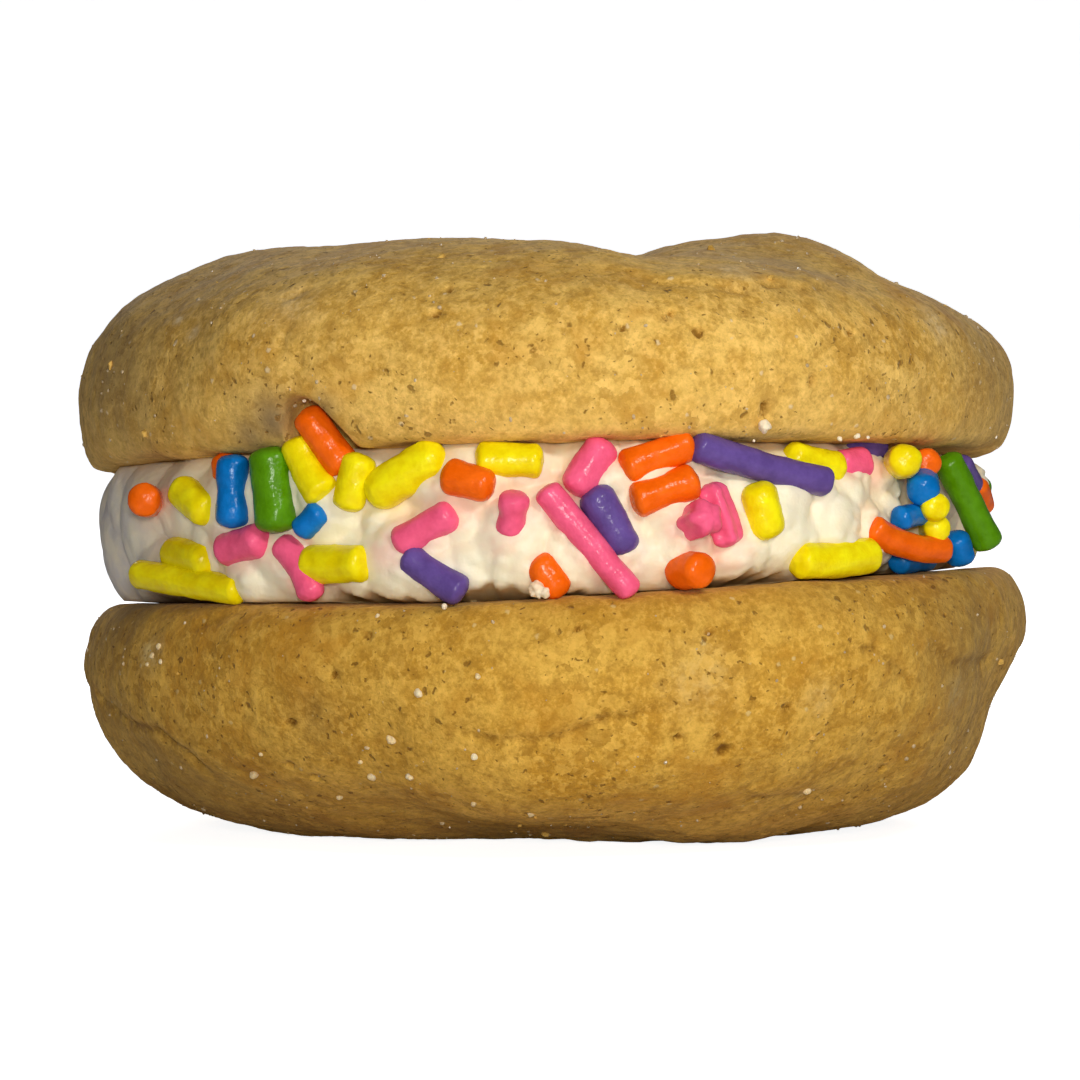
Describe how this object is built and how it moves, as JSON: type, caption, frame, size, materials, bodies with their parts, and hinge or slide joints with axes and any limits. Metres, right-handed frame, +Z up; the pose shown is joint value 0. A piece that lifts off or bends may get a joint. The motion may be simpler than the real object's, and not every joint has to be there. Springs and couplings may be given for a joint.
{
  "type": "cookie ice cream sandwich",
  "caption": "Two thick soft sugar cookies, flat sides together, round a disc of vanilla ice cream whose lumpy edge is covered in rod sprinkles.",
  "frame": {"origin": "on the surface the sandwich rests on, under the middle of the cookies", "axes": "+Z up through the stack, -Y towards the shown front, +X to the right of the front"},
  "size_m": [0.0698, 0.0708, 0.0425],
  "materials": {
    "cookie": "dry pale-golden baked dough with fine crumb, pores and sugar grains",
    "ice_cream": "soft creamy white, slightly wet",
    "sprinkle_yellow": "yellow sugar sprinkle with a waxy shine",
    "sprinkle_orange": "orange sugar sprinkle with a waxy shine",
    "sprinkle_pink": "pink sugar sprinkle with a waxy shine",
    "sprinkle_purple": "purple sugar sprinkle with a waxy shine",
    "sprinkle_blue": "blue sugar sprinkle with a waxy shine",
    "sprinkle_green": "green sugar sprinkle with a waxy shine",
    "sugar": "clear white sugar grain"
  },
  "bodies": {
    "root": {"bottom_cookie": "cookie", "ice_cream": "ice_cream", "top_cookie": "cookie"}
  },
  "joints": []
}
